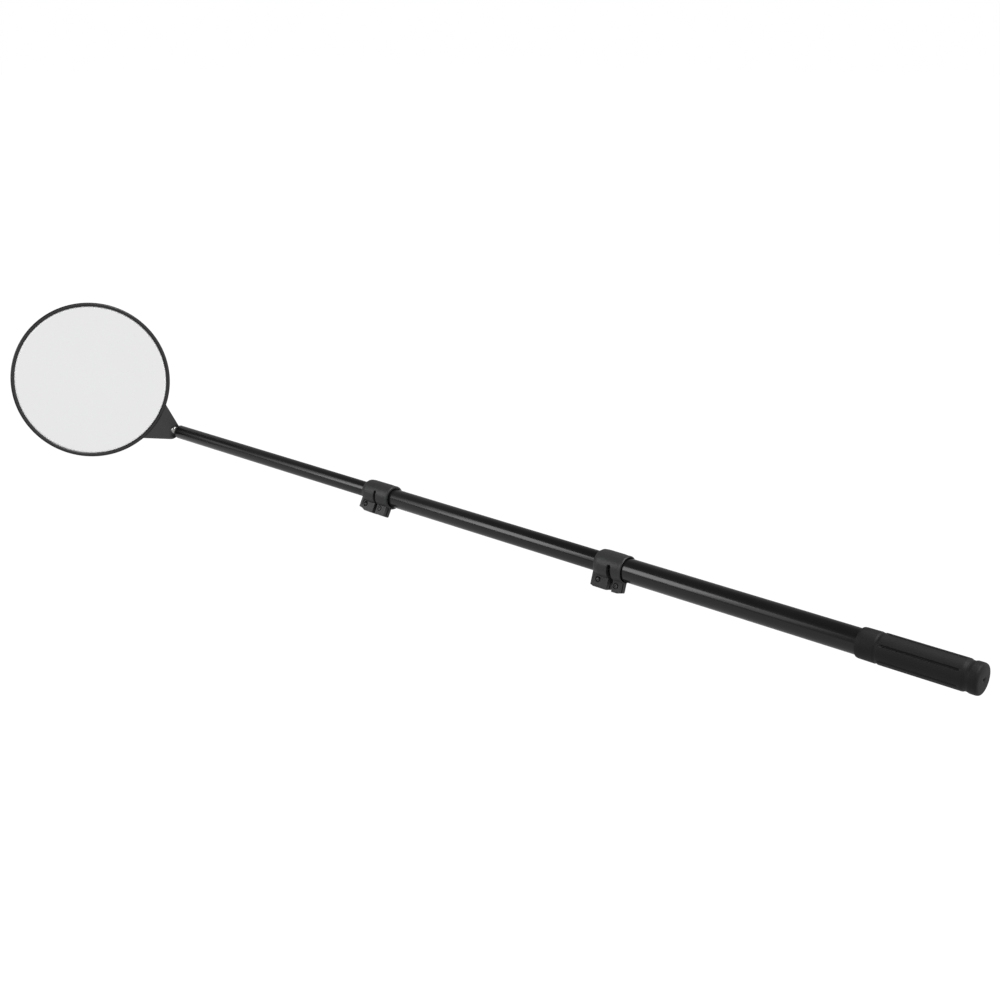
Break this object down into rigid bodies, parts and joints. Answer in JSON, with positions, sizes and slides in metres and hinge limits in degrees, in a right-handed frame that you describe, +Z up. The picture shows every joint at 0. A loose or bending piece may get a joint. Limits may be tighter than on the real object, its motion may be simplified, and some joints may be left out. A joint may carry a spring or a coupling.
{
  "type": "telescoping inspection mirror",
  "caption": "Round framed mirror on a ball joint at the end of a telescoping round-tube pole with clamp collars, cam levers and a ribbed rubber hand grip.",
  "frame": {"origin": "middle of the bounding box, on the surface that the part lies on", "axes": "+X along the pole from the mirror end to the grip, +Z up, glass faces the -Y side"},
  "size_m": [1.1278, 0.1666, 0.1782],
  "materials": {
    "tube_black": "gloss black coated",
    "collar_plastic": "moulded, fine texture",
    "grip_rubber": "matt",
    "plug_plastic": "satin",
    "nylon": "satin",
    "black_steel": "black oxide",
    "bright_steel": "plated",
    "shell_plastic": "moulded, fine texture",
    "rim_plastic": "satin",
    "mirror_glass": "silvered, bevelled edge",
    "foam": "closed-cell foam"
  },
  "bodies": {
    "handle": {"handle_tube": "tube_black", "hand_grip": "grip_rubber", "tube_end_plug": "plug_plastic", "lower_collar": "collar_plastic", "lower_lock_bolt": "black_steel", "lower_lever_pin": "bright_steel", "lower_pinch_screw": "black_steel", "lower_pinch_nut": "bright_steel"},
    "lower_lever": {"lower_cam_lever": "collar_plastic"},
    "mid_guide": {"mid_guide_bush": "nylon"},
    "mid_section": {"mid_tube": "tube_black", "upper_collar": "collar_plastic", "upper_lock_bolt": "black_steel", "upper_lever_pin": "bright_steel", "upper_pinch_screw": "black_steel", "upper_pinch_nut": "bright_steel"},
    "upper_lever": {"upper_cam_lever": "collar_plastic"},
    "tip_guide": {"tip_guide_bush": "nylon"},
    "tip_section": {"tip_tube": "tube_black", "tip_plug": "plug_plastic", "tip_washer": "bright_steel"},
    "ball": {"ball_stud": "bright_steel"},
    "liner": {"socket_liner": "nylon"},
    "head": {"back_shell": "shell_plastic", "mirror_rim": "rim_plastic", "mirror_glass": "mirror_glass", "foam_pad": "foam", "socket_cap": "shell_plastic", "cap_screw_1": "bright_steel", "cap_screw_2": "bright_steel", "spring_washer": "bright_steel"}
  },
  "joints": [
    {"name": "lower_lever_swing", "type": "hinge", "parent": "handle", "child": "lower_lever", "pos_m": [0.20457, 0.07478, 0.00582], "axis": [0, 0.2924, 0.9563], "range_deg": [0, 120]},
    {"name": "mid_slide", "type": "slide", "parent": "handle", "child": "mid_guide", "axis": [1, 0, 0], "range_m": [0, 0.255]},
    {"name": "mid_twist", "type": "hinge", "parent": "mid_guide", "child": "mid_section", "pos_m": [0.24437, 0.07014, 0.02313], "axis": [1, 0, 0], "continuous": true},
    {"name": "upper_lever_swing", "type": "hinge", "parent": "mid_section", "child": "upper_lever", "pos_m": [-0.10383, 0.0705, 0.00624], "axis": [0, 0.4848, 0.8746], "range_deg": [0, 120]},
    {"name": "tip_slide", "type": "slide", "parent": "mid_section", "child": "tip_guide", "axis": [1, 0, 0], "range_m": [0, 0.285]},
    {"name": "tip_twist", "type": "hinge", "parent": "tip_guide", "child": "tip_section", "pos_m": [-0.05563, 0.07014, 0.02313], "axis": [1, 0, 0], "continuous": true},
    {"name": "ball_spin", "type": "hinge", "parent": "tip_section", "child": "ball", "pos_m": [-0.45563, 0.07014, 0.02313], "axis": [1, 0, 0], "continuous": true},
    {"name": "ball_yaw", "type": "hinge", "parent": "ball", "child": "liner", "pos_m": [-0.45563, 0.07014, 0.02313], "axis": [0, -0.777, 0.6295], "range_deg": [-5.5, 18.5]},
    {"name": "ball_pitch", "type": "hinge", "parent": "liner", "child": "head", "pos_m": [-0.45563, 0.07014, 0.02313], "axis": [0.1128, 0.6255, 0.772], "range_deg": [-44, 49.8]}
  ]
}
